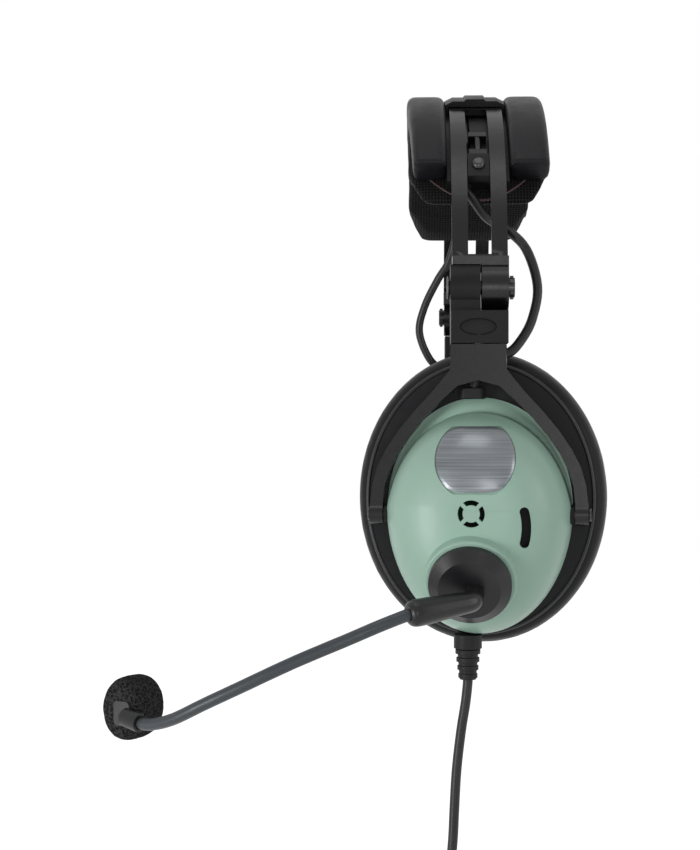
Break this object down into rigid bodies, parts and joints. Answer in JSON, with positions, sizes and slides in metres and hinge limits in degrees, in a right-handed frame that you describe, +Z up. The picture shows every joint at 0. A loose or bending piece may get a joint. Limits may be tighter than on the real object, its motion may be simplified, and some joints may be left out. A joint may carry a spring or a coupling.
{
  "type": "aviation headset",
  "caption": "Aviation headset with a padded headband, folding sprung arms, two domed ear cups, a turning boom microphone and a hanging plug cord.",
  "frame": {"origin": "middle of the head pad's underside at the crown", "axes": "+Z up as worn, the microphone side and the wearer's face towards -X, the wearer's left ear at -Y"},
  "size_m": [0.1858, 0.2687, 0.462],
  "materials": {
    "cushion_fabric": "black mesh fabric over foam",
    "roll_leather": "soft black leatherette",
    "black_plastic": "fine satin grain",
    "black_metal": "satin black coat with worn edges",
    "steel": "dull zinc plate",
    "dome_plastic": "pale sea green, fine matte grain",
    "badge_plate": "brushed, under a clear domed coat",
    "seal_leather": "soft black seal skin",
    "foam": "open black foam",
    "speaker_body": "dark driver frame",
    "board": "green circuit board",
    "rubber_black": "soft matte rubber",
    "boom_sleeve": "slate sleeve with a sheen",
    "bush_nylon": "natural nylon",
    "cord_jacket": "smooth satin jacket",
    "pin_brass": "polished contact"
  },
  "bodies": {
    "headband": {"pad_cushion": "cushion_fabric", "pad_roll_front": "roll_leather", "pad_roll_rear": "roll_leather", "pad_spine": "black_plastic", "crown_bridge": "black_plastic", "crown_screws": "steel", "slider_brackets": "black_plastic", "slider_screws": "steel", "lead_conduits": "black_metal", "crossover_lead": "cord_jacket"},
    "arm_left_set": {"arm_left": "black_metal", "hinge_pin_left": "steel", "lock_nut_left": "steel"},
    "arm_right_set": {"arm_right": "black_metal", "hinge_pin_right": "steel", "lock_nut_right": "steel"},
    "hinge_left": {"hinge_block_left": "black_plastic"},
    "hinge_right": {"hinge_block_right": "black_plastic"},
    "yoke_left_set": {"yoke_left": "black_metal", "pivot_pins_left": "steel"},
    "yoke_right_set": {"yoke_right": "black_metal", "pivot_pins_right": "steel"},
    "cup_left": {"cup_shell_left": "black_plastic", "dome_left": "dome_plastic", "badge_left": "badge_plate", "ear_seal_left": "seal_leather", "foam_liner_left": "foam", "speaker_left": "speaker_body", "control_board_left": "board", "dome_screws_left": "steel", "lead_grommet_left": "rubber_black", "boom_bush": "bush_nylon", "strain_relief": "rubber_black", "lead_left": "cord_jacket"},
    "cup_right": {"cup_shell_right": "black_plastic", "dome_right": "dome_plastic", "badge_right": "badge_plate", "ear_seal_right": "seal_leather", "foam_liner_right": "foam", "speaker_right": "speaker_body", "control_board_right": "board", "dome_screws_right": "steel", "lead_grommet_right": "rubber_black", "blank_cap_right": "black_plastic", "lead_right": "cord_jacket"},
    "volume_left": {"volume_wheel_left": "black_plastic"},
    "volume_right": {"volume_wheel_right": "black_plastic"},
    "boom": {"boom_hub": "black_plastic", "boom_elbow": "black_plastic", "boom_tube": "boom_sleeve", "mic_bracket": "black_plastic", "mic_capsule": "black_plastic", "mic_foam": "foam"},
    "cord": {"main_cord": "cord_jacket", "cord_coil": "cord_jacket", "cord_tie": "rubber_black", "y_splitter": "rubber_black", "plug_tails": "cord_jacket", "plug_grips": "black_plastic", "plug_pins": "pin_brass"}
  },
  "joints": [
    {"name": "size_left", "type": "hinge", "parent": "headband", "child": "arm_left_set", "pos_m": [0, 0, -0.061], "axis": [-1, 0, 0], "range_deg": [-11, 5]},
    {"name": "size_right", "type": "hinge", "parent": "headband", "child": "arm_right_set", "pos_m": [0, 0, -0.061], "axis": [1, 0, 0], "range_deg": [-11, 5]},
    {"name": "fold_left", "type": "hinge", "parent": "arm_left_set", "child": "hinge_left", "pos_m": [0, -0.086, -0.061], "axis": [1, 0, 0], "range_deg": [0, 70]},
    {"name": "fold_right", "type": "hinge", "parent": "arm_right_set", "child": "hinge_right", "pos_m": [0, 0.086, -0.061], "axis": [1, 0, 0], "range_deg": [-70, 0]},
    {"name": "swivel_left", "type": "hinge", "parent": "hinge_left", "child": "yoke_left_set", "pos_m": [-0.001, -0.0945, -0.085], "axis": [0, 0, 1], "range_deg": [-6, 12]},
    {"name": "swivel_right", "type": "hinge", "parent": "hinge_right", "child": "yoke_right_set", "pos_m": [0.001, 0.0945, -0.085], "axis": [0, 0, 1], "range_deg": [-12, 6]},
    {"name": "tilt_left", "type": "hinge", "parent": "yoke_left_set", "child": "cup_left", "pos_m": [-0.001, -0.0945, -0.143], "axis": [0.9945, -0.1045, 0], "range_deg": [-10, 2], "deforming": ["lead_left"]},
    {"name": "tilt_right", "type": "hinge", "parent": "yoke_right_set", "child": "cup_right", "pos_m": [0.001, 0.0945, -0.143], "axis": [0.9945, 0.1045, 0], "range_deg": [-2, 10], "deforming": ["lead_right"]},
    {"name": "boom_turn", "type": "hinge", "parent": "cup_left", "child": "boom", "pos_m": [-0.00479, -0.11622, -0.1659], "axis": [0.0955, 0.9085, 0.4067], "range_deg": [-40, 160]},
    {"name": "volume_left_turn", "type": "hinge", "parent": "cup_left", "child": "volume_left", "pos_m": [0.00575, -0.10677, -0.1465], "axis": [-0.1045, -0.9945, 0], "range_deg": [-135, 135]},
    {"name": "volume_right_turn", "type": "hinge", "parent": "cup_right", "child": "volume_right", "pos_m": [0.00775, 0.10677, -0.1465], "axis": [-0.1045, 0.9945, 0], "range_deg": [-135, 135]},
    {"name": "cord_hang", "type": "hinge", "parent": "cup_left", "child": "cord", "pos_m": [-0.0047, -0.0895, -0.205], "axis": [1, 0, 0], "range_deg": [-70, 0]}
  ],
  "couplings": [
    {"joint": "cord_hang", "follows": "fold_left", "ratio": -1}
  ]
}
